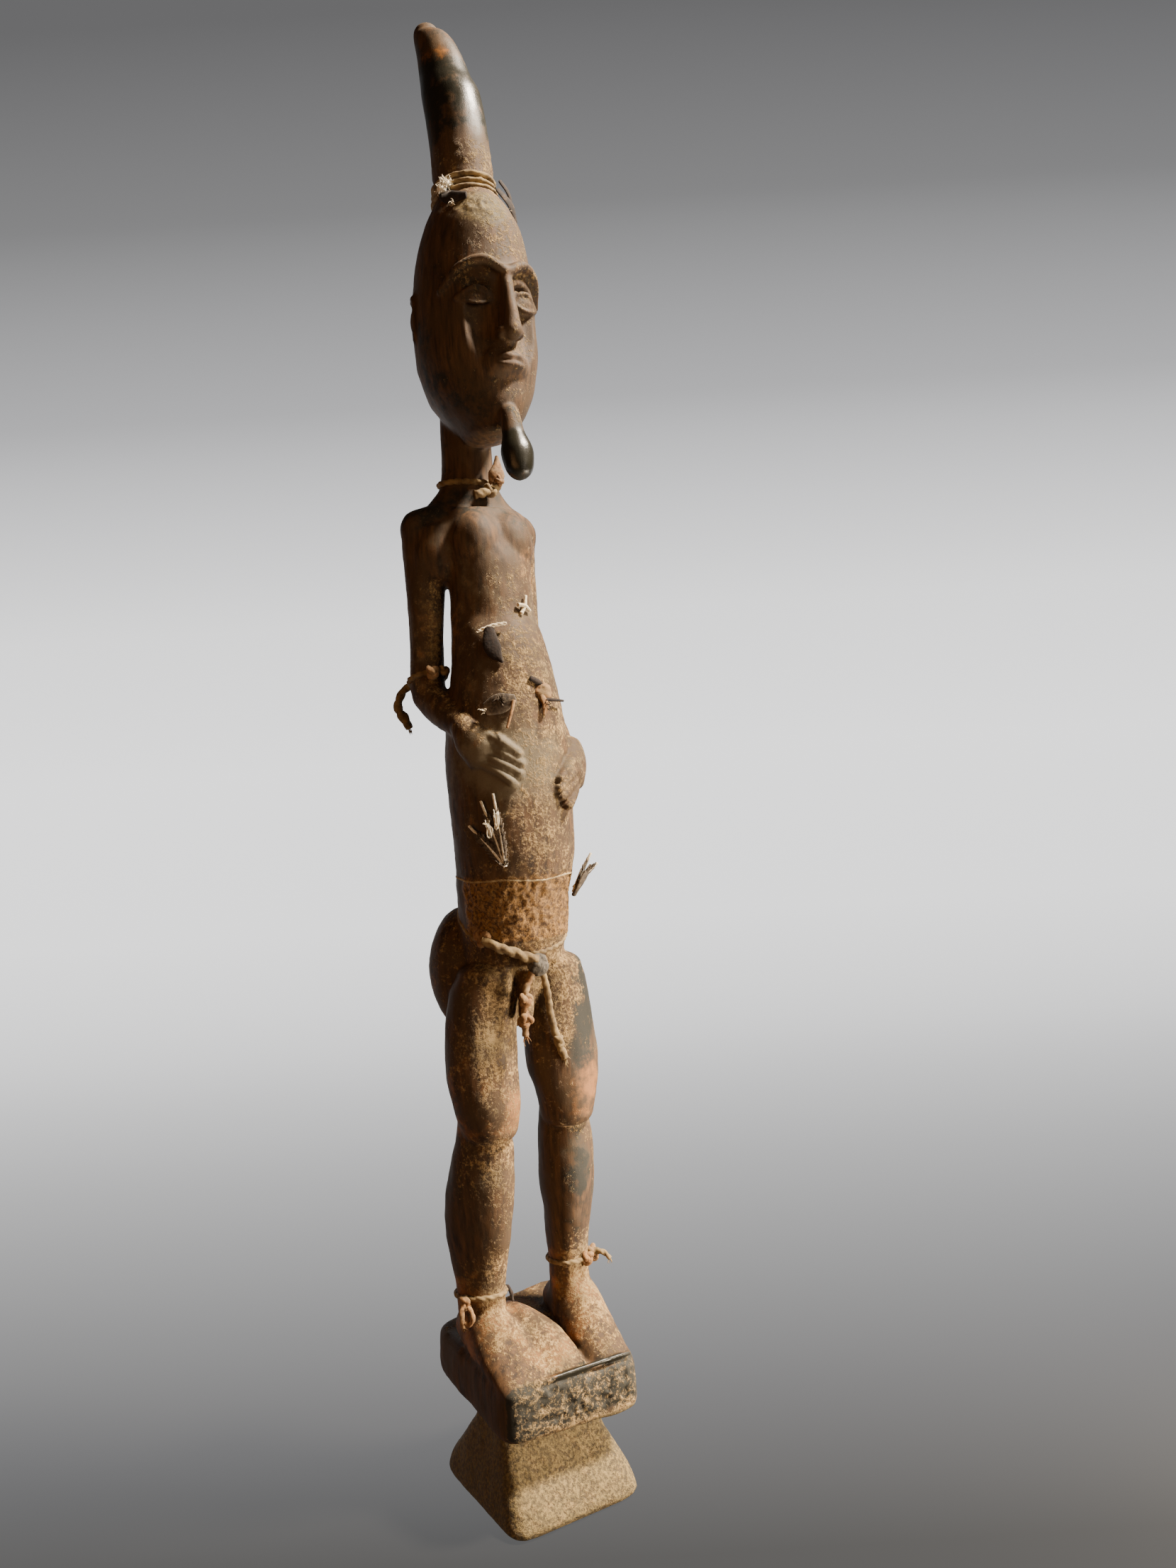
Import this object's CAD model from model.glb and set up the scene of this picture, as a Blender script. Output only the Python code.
"""A standing male figure of carved wood on an hourglass base, tied with fibre cords and stuck with
feathers. Lengths are millimetres in the frame's own axes, until a mesh is made in metres.
"""
import math

import bpy
import numpy as np
from mathutils import Matrix, Vector
from mathutils.bvhtree import BVHTree


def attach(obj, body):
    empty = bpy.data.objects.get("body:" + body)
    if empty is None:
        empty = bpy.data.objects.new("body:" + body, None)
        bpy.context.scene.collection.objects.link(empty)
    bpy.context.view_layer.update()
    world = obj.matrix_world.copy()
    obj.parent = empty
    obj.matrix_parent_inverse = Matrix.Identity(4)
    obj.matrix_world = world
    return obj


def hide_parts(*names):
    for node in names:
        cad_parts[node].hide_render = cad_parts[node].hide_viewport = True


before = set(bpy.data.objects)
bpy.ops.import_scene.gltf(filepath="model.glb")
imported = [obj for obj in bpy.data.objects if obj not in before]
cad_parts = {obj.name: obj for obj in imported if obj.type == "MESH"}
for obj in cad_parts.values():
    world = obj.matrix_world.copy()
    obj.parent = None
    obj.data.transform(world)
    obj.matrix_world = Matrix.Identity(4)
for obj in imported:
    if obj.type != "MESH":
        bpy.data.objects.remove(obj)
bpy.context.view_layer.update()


# The carved figure. One block of wood, adzed and knifed to a horn crest, an egg-shaped head with a
# beard peg, hands laid on the belly, legs with stepped knees and a notched base. Its closed masses
# are grown into one skin with the face cut in, under years of oil, clay and handling.
MM = 0.001
TOTAL_HEIGHT = 708.0
BLOCK_FOOT = 47.0
BASE_TOP = 69.5
KNEE = 168.0
HIP = 254.0
WAIST = 288.0
ELBOW = 382.0
SHOULDER = 457.5
CHIN = 500.0
CREST_FOOT = 613.0
BASE_WIDE = 33.6
BASE_DEEP = 38.5
BLOCK_WIDE = 36.0
BASE_NECK_WIDE = 25.3
BASE_NECK_DEEP = 13.8
BASE_Y = 2.5
HEAD_WIDE = 28.0
HEAD_DEEP = 34.0
BELLY_WIDE = 28.8
CHEST_WIDE = 20.0
LEG_X = 23.5
ARM_X = 26.0
ARM_Y = 18.5
NECK_Y = 17.5
HAND_FALL = 12.0
ARM_PINCH = 2.8
RIGHT = -1
LEFT = 1

RING_STEP = 1.6
ROUND_SIDES = 64
DOME_START = 12
DOME_END = 84
SKIN_VOXEL = 0.85
FIGURE_FACES = 196000


def smoothstep(values, low, high):
    """Rises from 0 at low to 1 at high along 3t^2 - 2t^3, and falls if low is the greater."""
    t = np.clip((values - low) / (high - low), 0, 1)
    return t * t * (3 - 2 * t)


def within(values, start, rise, fall, end):
    """1 between rise and fall, and 0 before start and after end, along smooth steps."""
    return smoothstep(values, start, rise) * smoothstep(values, end, fall)


def cubic(t, start, start_slope, end, end_slope):
    """The cubic from start to end as t goes from 0 to 1, with the given slopes at its ends."""
    return ((2 * t ** 3 - 3 * t ** 2 + 1) * start + (t ** 3 - 2 * t ** 2 + t) * start_slope
            + (3 * t ** 2 - 2 * t ** 3) * end + (t ** 3 - t ** 2) * end_slope)


def through(stations, places):
    """Values at places along stations, whose first column is the place. Each span is a cubic whose
    end slopes are the harmonic mean of the chords beside them, and level at a turning point."""
    table = np.asarray(stations, float)
    at = table[:, 0]
    values = table[:, 1:]
    chord = np.diff(values, axis=0) / np.diff(at)[:, None]
    slope = np.empty_like(values)
    slope[0] = chord[0]
    slope[-1] = chord[-1]
    product = chord[:-1] * chord[1:]
    total = np.where(product > 0, chord[:-1] + chord[1:], 1)
    slope[1:-1] = np.where(product > 0, 2 * product / total, 0)
    places = np.asarray(places, float)
    low = np.clip(np.searchsorted(at, places, side="right") - 1, 0, len(at) - 2)
    width = (at[low + 1] - at[low])[:, None]
    t = (places - at[low])[:, None] / width
    return cubic(t, values[low], width * slope[low], values[low + 1], width * slope[low + 1])


def upright(stations, squareness=2.0, turn=0.0, low=0.0, high=0.0, lean=None):
    """Rings over stations [height, x, y, half width, half depth]. A ring is the curve
    |x/a|^n + |y/b|^n = 1, and quarter ellipses low and high round the ends off. Rings are level, or
    rise by a x + b y + c x y, where lean gives a, b and c at a height."""
    bottom, top = stations[0][0], stations[-1][0]
    heights = np.linspace(bottom, top, max(3, int((top - bottom) / RING_STEP)))
    dome = np.radians(np.linspace(DOME_START, DOME_END, 7))
    bends = np.zeros_like(heights)
    if low:
        heights = np.concatenate([np.full(len(dome), bottom), heights])
        bends = np.concatenate([-dome[::-1], bends])
    if high:
        heights = np.concatenate([heights, np.full(len(dome), top)])
        bends = np.concatenate([bends, dome])
    x, y, wide, deep = through(stations, heights).T
    angle = np.linspace(0, 2 * np.pi, ROUND_SIDES, endpoint=False)
    across = np.sign(np.cos(angle)) * np.abs(np.cos(angle)) ** (2 / squareness)
    along = np.sign(np.sin(angle)) * np.abs(np.sin(angle)) ** (2 / squareness)
    u = (wide * np.cos(bends))[:, None] * across
    v = (deep * np.cos(bends))[:, None] * along
    swung_u = u * math.cos(turn) - v * math.sin(turn)
    swung_v = u * math.sin(turn) + v * math.cos(turn)
    rise = np.where(bends < 0, low, high) * np.sin(bends)
    z = np.broadcast_to((heights + rise)[:, None], u.shape)
    if lean is not None:
        aside, back, twist = [amount[:, None] for amount in lean(heights)]
        z = z + aside * swung_u + back * swung_v + twist * swung_u * swung_v
    return np.stack([x[:, None] + swung_u, y[:, None] + swung_v, z], axis=-1)


def curve_through(points, count):
    """Count points of the Catmull-Rom curve through the given ones: each span a cubic whose end
    slopes are half the step between the neighbours."""
    knots = np.asarray(points, float)
    slope = np.empty_like(knots)
    slope[1:-1] = (knots[2:] - knots[:-2]) / 2
    slope[0] = knots[1] - knots[0]
    slope[-1] = knots[-1] - knots[-2]
    place = np.linspace(0, len(knots) - 1, count)
    low = np.clip(place.astype(int), 0, len(knots) - 2)
    t = (place - low)[:, None]
    return cubic(t, knots[low], slope[low], knots[low + 1], slope[low + 1])


def unit(vectors):
    return vectors / np.maximum(np.linalg.norm(vectors, axis=-1, keepdims=True), 1e-9)


def limb(stations, facing=(0, -1, 0), sides=40):
    """Elliptic rings across the curve through stations [x, y, z, half width, half thickness], with
    the thickness measured towards facing and half a ball on each end."""
    table = np.asarray(stations, float)
    length = np.linalg.norm(np.diff(table[:, :3], axis=0), axis=1).sum()
    count = max(8, int(length / RING_STEP))
    line = curve_through(table[:, :3], count)
    sizes = np.column_stack([np.arange(len(table)), table[:, 3:]])
    wide, thick = through(sizes, np.linspace(0, len(table) - 1, count)).T
    tangent = unit(np.gradient(line, axis=0))
    dome = np.radians(np.linspace(DOME_START, DOME_END, 6))
    pick = np.clip(np.arange(-len(dome), count + len(dome)), 0, count - 1)
    bends = np.concatenate([-dome[::-1], np.zeros(count), dome])
    tangent = tangent[pick]
    side = unit(np.cross(np.asarray(facing, float), tangent))
    out = np.cross(tangent, side)
    reach = np.minimum(wide, thick)[pick] * np.sin(bends)
    centre = line[pick] + tangent * reach[:, None]
    angle = np.linspace(0, 2 * np.pi, sides, endpoint=False)
    across = (wide[pick] * np.cos(bends))[:, None] * np.cos(angle)
    away = (thick[pick] * np.cos(bends))[:, None] * np.sin(angle)
    return centre[:, None] + side[:, None] * across[..., None] + out[:, None] * away[..., None]


def lump(centre, halves, sides=40):
    """An ellipsoid about its centre, as rings from pole to pole."""
    latitude = np.radians(np.linspace(-DOME_END, DOME_END, 22))[:, None]
    angle = np.linspace(0, 2 * np.pi, sides, endpoint=False)
    x = np.cos(latitude) * np.cos(angle)
    y = np.cos(latitude) * np.sin(angle)
    z = np.sin(latitude) * np.ones_like(angle)
    return np.asarray(centre, float) + np.stack([x, y, z], axis=-1) * halves


def mesh_of(name, grids):
    """One mesh in metres from closed grids of rings of points, each with a fan over both ends."""
    points, faces, start = [], [], 0
    for grid in grids:
        rings, sides = grid.shape[:2]
        ends = np.stack([grid[0].mean(axis=0), grid[-1].mean(axis=0)])
        points.append(np.concatenate([grid.reshape(-1, 3), ends]))
        ring, side = np.meshgrid(np.arange(rings - 1), np.arange(sides), indexing="ij")
        here = start + ring * sides + side
        next_side = start + ring * sides + (side + 1) % sides
        quads = np.stack([here, next_side, next_side + sides, here + sides], axis=-1).reshape(-1, 4)
        faces.extend(quads.tolist())
        rim = np.arange(sides)
        after = (rim + 1) % sides
        middle = np.full(sides, start + rings * sides)
        last = start + (rings - 1) * sides
        faces.extend(np.stack([middle, start + after, start + rim], axis=-1).tolist())
        faces.extend(np.stack([middle + 1, last + rim, last + after], axis=-1).tolist())
        start += rings * sides + 2
    mesh = bpy.data.meshes.new(name)
    mesh.from_pydata((np.concatenate(points) * MM).tolist(), [], faces)
    mesh.update()
    return mesh


def object_of(name, mesh):
    piece = bpy.data.objects.new(name, mesh)
    bpy.context.scene.collection.objects.link(piece)
    return piece


def shade_smooth(mesh):
    mesh.polygons.foreach_set("use_smooth", np.ones(len(mesh.polygons), bool))


def vectors_of(collection, name):
    values = np.empty(len(collection) * 3, np.float32)
    collection.foreach_get(name, values)
    return values.reshape(-1, 3).astype(float)


def vertex_places(mesh):
    return vectors_of(mesh.vertices, "co") / MM


def move_vertices(mesh, places):
    mesh.vertices.foreach_set("co", (places * MM).ravel().astype(np.float32))
    mesh.update()


def finished(piece):
    """The piece with its modifiers applied: its mesh becomes the evaluated one."""
    graph = bpy.context.evaluated_depsgraph_get()
    mesh = bpy.data.meshes.new_from_object(piece.evaluated_get(graph))
    piece.modifiers.clear()
    piece.data = mesh
    return mesh


HASH_PRIMES = (73856093, 19349663, 83492791)
HASH_SEED = 2654435761
HASH_SPREAD = 1274126177
HASH_TOP = 0xFFFF


def lattice_noise(points, size, seed):
    """Smooth noise from 0 to 1: hashed numbers on a cubic lattice of the given size in millimetres,
    blended between the eight corners of a cell by smoothstep."""
    place = points / size
    cell = np.floor(place).astype(np.int64)
    part = place - cell
    part = part * part * (3 - 2 * part)
    total = np.zeros(len(points))
    for corner in np.ndindex(2, 2, 2):
        node = cell + corner
        mixed = np.bitwise_xor.reduce(node * HASH_PRIMES, axis=1) ^ seed * HASH_SEED
        mixed = ((mixed ^ (mixed >> 13)) & 0xFFFFFF) * HASH_SPREAD
        mixed = (mixed ^ (mixed >> 15)) & HASH_TOP
        weight = np.prod(np.where(corner, part, 1 - part), axis=1)
        total += weight * mixed / HASH_TOP
    return total


def cloudy(points, size, seed):
    """Lattice noise in three sizes, each half the one before and half as strong, from 0 to 1."""
    total = lattice_noise(points, size, seed) * 4
    total += lattice_noise(points, size / 2, seed + 1) * 2
    total += lattice_noise(points, size / 4, seed + 2)
    return total / 7


def mirrored(grid):
    """The same grid on the other side of the body, its rings turned so that faces point out."""
    return (grid * (-1, 1, 1))[:, ::-1]


def base_masses():
    """The foot, the notch and the block as one mass of rounded rectangles, and a bar for the
    straight edge that handling has polished along the block's front. The notch rises to the back
    and to the right, and the top of the block is a little twisted."""
    stations = [
        [0, -0.9, BASE_Y, BASE_WIDE - 1.6, BASE_DEEP - 1.8],
        [3, -0.9, BASE_Y, BASE_WIDE, BASE_DEEP],
        [8, -0.9, BASE_Y, BASE_WIDE - 0.6, BASE_DEEP - 1.6],
        [34, -1.2, BASE_Y - 1.5, BASE_NECK_WIDE + 0.6, BASE_NECK_DEEP + 1.6],
        [37, -1.2, BASE_Y - 1.5, BASE_NECK_WIDE + 0.4, BASE_NECK_DEEP],
        [BLOCK_FOOT, 0, BASE_Y, BLOCK_WIDE - 0.4, BASE_DEEP - 0.4],
        [BLOCK_FOOT + 4, 0, BASE_Y, BLOCK_WIDE, BASE_DEEP],
        [BASE_TOP - 2.4, 0, BASE_Y, BLOCK_WIDE - 0.6, BASE_DEEP],
        [BASE_TOP, 0, BASE_Y, BLOCK_WIDE - 2.6, BASE_DEEP - 1.2],
    ]

    def lean(height):
        notch = smoothstep(height, 8, 36)
        top = smoothstep(height, 52, BASE_TOP)
        return -0.06 * notch + 0.07 * top, 0.1 * notch + 0.03 * top, 0.0023 * top

    edge = limb([
        [-30, -32.4, 66.6, 1.2, 1.2],
        [-12, -34.6, 67.2, 1.3, 1.3],
        [6, -34.8, 67.1, 1.3, 1.3],
        [30, -34.2, 66.4, 1.2, 1.2],
    ], facing=(0, 0, 1))
    return [upright(stations, squareness=9, lean=lean), edge]


def leg_masses(side):
    """A foot that spreads to the front edge of the block, the shin and calf, and the thigh, which
    ends in a round knee over the shin. The right foot has a broad web towards the middle."""
    if side == RIGHT:
        foot = [
            limb([
                [-24, 17, 78, 9, 9],
                [-24, 5, 78, 10.5, 15],
                [-21, -10, 73, 15, 10.5],
                [-16.6, -27.8, 64.5, 18.5, 6.5],
            ], facing=(0, 0, 1)),
            limb([
                [-12, 14, 75, 11, 9.6],
                [-7.6, 3, 75.2, 12, 10.4],
                [-4, -13, 71.5, 13, 9],
                [-0.6, -28, 63.5, 12.6, 6.2],
            ], facing=(0, 0, 1)),
        ]
    else:
        foot = [limb([
            [24.2, 17, 78, 9.4, 9],
            [25, 5, 78, 11.6, 14.5],
            [24, -10, 71, 11.8, 10.5],
            [23.4, -27.6, 62, 11, 6.5],
        ], facing=(0, 0, 1))]
    shin = upright([
        [74, side * LEG_X, 7, 12, 10],
        [98, side * (LEG_X + 0.5), 7, 12.2, 9.6],
        [112, side * (LEG_X + 0.5), 6.8, 14.4, 10.4],
        [124, side * (LEG_X + 0.8), 5.5, 16.6, 11.6],
        [142, side * LEG_X, 3.3, 17.2, 13.6],
        [158, side * (LEG_X - 0.8), 0.8, 15.6, 13.2],
        [175, side * (LEG_X - 2), -1.2, 13, 11.8],
        [192, side * (LEG_X - 2), -1.6, 12, 10.6],
    ], turn=side * math.radians(60))
    fuller = 1.6 if side == LEFT else 0
    thigh = upright([
        [KNEE + 8, side * 21, -6.2, 13.2, 12.6],
        [KNEE + 17, side * 21.4, -5.6, 15.4, 14.4],
        [200, side * 21.4, -2.8, 16.8 + fuller, 16.6 + fuller * 0.4],
        [220, side * 20.4, -2.4, 16.8 + fuller, 16.4],
        [238, side * 18.6, -4, 16.2, 15.6],
        [HIP - 8, side * 17.5, -6, 14, 14],
    ], low=9, high=7, turn=side * 0.5)
    return [*foot, shin, thigh]


def hip_masses():
    pelvis = upright([
        [226, 0, 4, 22, 14],
        [240, 0, 3, 26, 19],
        [256, 0, 0, 25.6, 21.4],
        [272, 0, -2.6, 25, 24],
    ], low=8)
    seat = lump([14.3, 17.5, 246], [19.6, 21.4, 30.6])
    sex = limb([[-2, -15, 246, 4, 4], [-4.4, -19.6, 238, 3.8, 3.8], [-6, -21, 227, 3.2, 3.2]])
    return [pelvis, seat, mirrored(seat), sex]


def trunk_masses():
    trunk = upright([
        [250, -0.2, -0.8, 23.5, 21.5],
        [262, -0.1, -2, 25, 24.4],
        [282, -0.3, -3.6, BELLY_WIDE - 3, 26],
        [302, 0.6, -7.2, BELLY_WIDE - 1, 28.6],
        [340, 0.2, -6, BELLY_WIDE, 29.8],
        [362, 0, -6.6, BELLY_WIDE - 1, 28],
        [385, 0, -6.4, 24, 25],
        [402, 0, -4.2, 21.6, 22.4],
        [414, 0, 0, CHEST_WIDE, 20.4],
        [436, 0, 0.4, CHEST_WIDE - 0.4, 19],
        [456, 0, 5, CHEST_WIDE, 16],
    ], high=8)
    plate = upright([
        [434, 0, 0.4, CHEST_WIDE - 1, 18],
        [450, 0, 3.6, CHEST_WIDE + 1, 17.6],
        [466, 0, 9, CHEST_WIDE - 1, 14],
    ])
    breast = lump([8, -1.8, 447.5], [13.2, 14.6, 16.4])
    return [trunk, plate, breast, mirrored(breast)]


def shoulder_masses():
    """The yoke of the shoulders, the slope up to the neck, and a cap on each side that runs over to
    the breast and stops in a step above the narrower arm."""
    yoke = limb([
        [-ARM_X - 0.2, ARM_Y - 1, SHOULDER - 1, 10.4, 11.4],
        [-13, 14, SHOULDER, 12, 13],
        [13, 14, SHOULDER, 12, 13],
        [ARM_X - ARM_PINCH * 0.6, ARM_Y - 1, SHOULDER - 1, 10.4, 11.4],
    ], facing=(0, 0, 1))
    slope = upright([
        [SHOULDER, -0.6, NECK_Y - 1.5, 30.5, 14],
        [SHOULDER + 6.5, -0.4, NECK_Y - 0.8, 28, 13.2],
        [SHOULDER + 12, 0, NECK_Y, 22.5, 12.8],
        [SHOULDER + 22, 0, NECK_Y, 14.6, 12.4],
        [SHOULDER + 34, 0, NECK_Y, 12.4, 12.2],
        [CHIN + 20, 0, NECK_Y - 1.5, 12, 12],
    ])
    caps = [upright([
        [SHOULDER - 25, place, 12.4, 14, 10.4],
        [SHOULDER - 13, place, 11, 14.6, 12.4],
        [SHOULDER, place * 0.9, 11.5, 12.5, 12],
    ], low=3) for place in (-20, 15.4)]
    return [yoke, slope, *caps]


def arm_masses(side):
    """An arm bent at the elbow, down behind the side and then forward along the belly, with a flat
    hand whose long fingers slant forward and down. The left hand lies lower and prouder."""
    pinch = ARM_PINCH if side == LEFT else 0
    fall = HAND_FALL if side == LEFT else 0
    proud = 3.4 if side == LEFT else 0
    upper = limb([
        [side * (ARM_X + 0.4 - pinch), ARM_Y - 1, SHOULDER - 8, 10.4, 9.8],
        [side * (ARM_X + 0.6 - pinch), ARM_Y - 2, 426, 10, 9],
        [side * (ARM_X + 1.6 - pinch), ARM_Y - 1.8, 402, 9.4, 8],
        [side * (ARM_X + 3 - pinch), ARM_Y - 3, ELBOW, 9, 8],
    ], facing=(side, 0, 0))
    fore = limb([
        [side * (ARM_X + 2.4 - pinch), ARM_Y - 3, ELBOW - 3, 8.8, 8.2],
        [side * (ARM_X + 1.8 - pinch * 0.5), 4, 371 - fall * 0.3, 8.2, 7.2],
        [side * (ARM_X + 0.2), -8, 364.5 - fall * 0.7, 7, 6.2],
        [side * (ARM_X - 2.4), -16, 359 - fall, 6.8, 5],
    ], facing=(side, 0, 0))

    def at(x, y, z):
        """A place on the hand, with x counted outwards, moved out and down for the left hand."""
        return [side * (x + proud * 0.9), y - proud * 0.2, z - fall]

    out = (side * 0.6, -0.8, 0)
    palm = limb([
        [*at(25.6, -15.5, 361), 6.6, 6],
        [*at(24, -20, 354.5), 9, 6.4],
        [*at(20.8, -24.2, 349), 9.4, 5.4],
    ], facing=out)
    masses = [upper, fore, palm]
    for finger, reach in enumerate([8.4, 7.4, 8.6, 12]):
        rank = finger - 1.5
        masses.append(limb([
            [*at(21.6 + rank * 0.4, -22.6 + rank * 0.2, 351 - rank * 4.5), 2.1, 4],
            [*at(15.8 + rank * 0.4, -29.8 + rank * 0.3, 346.5 - rank * 4.7), 2.05, 3.7],
            [*at(reach, -34.4, 340.5 - rank * 4.3), 1.7, 2.5],
        ], facing=out, sides=24))
    return masses


# The face follows the carver's canon: brow, nose foot and the chin's edge, 4 mm above CHIN, stand
# a third of the face apart.
THIRD = 31.0
NOSE_FOOT = CHIN + 4 + THIRD
BROW = NOSE_FOOT + THIRD
EYE = BROW - 11
MOUTH = NOSE_FOOT - THIRD / 3


def head_masses():
    """The egg of the head with two scoops taken out of its front: where a point lies in front of a
    scoop's back wall, it moves back to the wall."""
    egg = upright([
        [CHIN, 0, -9, 12, 19],
        [508, 0, -6, 18, 25],
        [520, 0, -2, 24, 30],
        [538, 0, 0, HEAD_WIDE - 0.3, HEAD_DEEP - 0.4],
        [556, 0, 1.5, HEAD_WIDE, HEAD_DEEP],
        [578, 0, 0.8, HEAD_WIDE - 2, HEAD_DEEP - 1.6],
        [593, 0, -0.6, HEAD_WIDE - 5.6, HEAD_DEEP - 5],
        [603, 0, 0.2, HEAD_WIDE - 9.6, HEAD_DEEP - 10],
        [CREST_FOOT, 0, 1.4, 13.6, 16.4],
    ], low=6, high=3)
    crest = upright([
        [CREST_FOOT - 8, -0.2, 1.4, 15, 18],
        [CREST_FOOT, -0.4, 1.6, 13.8, 16.2],
        [626, -0.6, 2.2, 13.7, 15.8],
        [643, -0.9, 3.5, 13.9, 15.8],
        [663, -1.7, 6.5, 13.8, 15.6],
        [675, -2.6, 10.2, 12, 13.6],
        [687, -3.4, 13.6, 10.4, 12],
        [699, -4.8, 18.5, 8.2, 9.4],
        [TOTAL_HEIGHT - 5, -5.8, 22, 6, 6.6],
    ], high=5)
    scoop = [
        [CHIN + 9, 12, -48, 7, 15],
        [MOUTH + 2, 12.5, -46, 10, 18],
        [NOSE_FOOT + 6, 13, -44.5, 11.5, 20],
        [EYE, 13.5, -44, 12.5, 20],
        [BROW - 4, 13.5, -44, 11.5, 18.5],
    ]
    height = egg[..., 2]
    held = np.clip(height, scoop[0][0], scoop[-1][0])
    x, y, wide, deep = through(scoop, held.ravel()).T.reshape(4, *height.shape)
    fade = within(height, CHIN + 3, CHIN + 13, BROW - 6, BROW + 1)
    inside = np.clip(1 - ((np.abs(egg[..., 0]) - x) / wide) ** 2, 0, 1)
    wall = y + deep * np.sqrt(inside) * fade
    front = egg[..., 1] < 0
    egg[..., 1] = np.where(front & (inside > 0), np.maximum(egg[..., 1], wall), egg[..., 1])
    return [egg, crest]


def face_masses():
    nose = limb([
        [0, -33, BROW, 3, 3],
        [0, -34.4, EYE, 3, 4],
        [0, -36, NOSE_FOOT + 10, 3.6, 4.6],
        [0, -37.4, NOSE_FOOT + 2.5, 4.6, 4.4],
    ])
    muzzle = lump([0, -27, MOUTH], [11.8, 8.3, 9.3])
    lips = [limb([
        [-8.5, -31.4, MOUTH - 0.3, 0.8, 1],
        [-3.5, -34.8, MOUTH + rise, 1.6, 1.8],
        [0, -35.5, MOUTH + rise * 0.86, 1.7, 1.9],
        [3.5, -34.8, MOUTH + rise, 1.6, 1.8],
        [8.5, -31.4, MOUTH - 0.3, 0.8, 1],
    ]) for rise in (1.9, -2)]
    beard = limb([
        [0, -29.5, CHIN + 2, 4.8, 4.6],
        [0, -32, CHIN - 7, 5.2, 5],
        [0, -34.6, CHIN - 17, 7.6, 7.2],
        [0, -36, CHIN - 23.5, 6.8, 6.6],
    ])
    one_side = [
        limb([
            [0.5, -34.3, BROW - 1, 2.4, 3],
            [10, -32.2, BROW + 4, 2.2, 2.6],
            [19, -25.3, BROW + 1.5, 2, 2.4],
            [25, -15.3, BROW - 7, 1.1, 1.6],
        ]),
        lump([4.2, -34.6, NOSE_FOOT + 2.2], [2.7, 3.8, 2.8]),
        limb([
            [5.5, -28.4, EYE - 0.5, 0.8, 1.4],
            [12.6, -26, EYE, 3.6, 3.2],
            [20.5, -22.2, EYE - 0.8, 0.8, 1.4],
        ]),
        limb([
            [5, -29.4, EYE - 0.2, 0.7, 0.9],
            [9, -29.6, EYE + 3.3, 0.9, 1.1],
            [14, -28.4, EYE + 3.9, 0.9, 1.1],
            [21, -22.8, EYE - 0.6, 0.7, 0.9],
        ], sides=16),
        limb([
            [5, -29.4, EYE - 0.8, 0.6, 0.8],
            [9, -29.4, EYE - 3.3, 0.8, 1],
            [14, -28, EYE - 3.7, 0.8, 1],
            [21, -22.8, EYE - 1.2, 0.6, 0.8],
        ], sides=16),
        limb([
            [26.5, 13, EYE + 9, 1.2, 1],
            [27.6, 9, EYE + 10.5, 1.3, 1.2],
            [28.4, 6, EYE + 5, 1.2, 1.2],
            [28.4, 6.5, EYE - 3, 1.2, 1.2],
            [27.2, 9.5, EYE - 9.5, 1.3, 1.1],
        ], facing=(1, 0, 0), sides=16),
        lump([26.4, 10.5, EYE], [2, 2.6, 6.5], sides=20),
    ]
    return [nose, muzzle, *lips, beard, *one_side, *[mirrored(grid) for grid in one_side]]


def calmed(places, corners, strength, rounds):
    """Points eased towards the mean of their neighbours along the edges of the quads, round by
    round, by a strength from 0 to 1 at each point."""
    start = corners.ravel()
    end = np.roll(corners, -1, axis=1).ravel()
    count = np.bincount(start, minlength=len(places)) + np.bincount(end, minlength=len(places))
    for _ in range(rounds):
        mean = np.empty_like(places)
        for axis in range(3):
            column = places[:, axis]
            total = np.bincount(start, weights=column[end], minlength=len(places))
            total += np.bincount(end, weights=column[start], minlength=len(places))
            mean[:, axis] = total / count
        places = places + (mean - places) * strength[:, None]
    return places


def quad_corners(mesh):
    corners = np.empty(len(mesh.loops), np.int32)
    mesh.loops.foreach_get("vertex_index", corners)
    return corners.reshape(-1, 4)


def bell(values, middle, width):
    """1 at the middle, falling off to 1/e at the width to either side."""
    return np.exp(-((values - middle) / width) ** 2)


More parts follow.
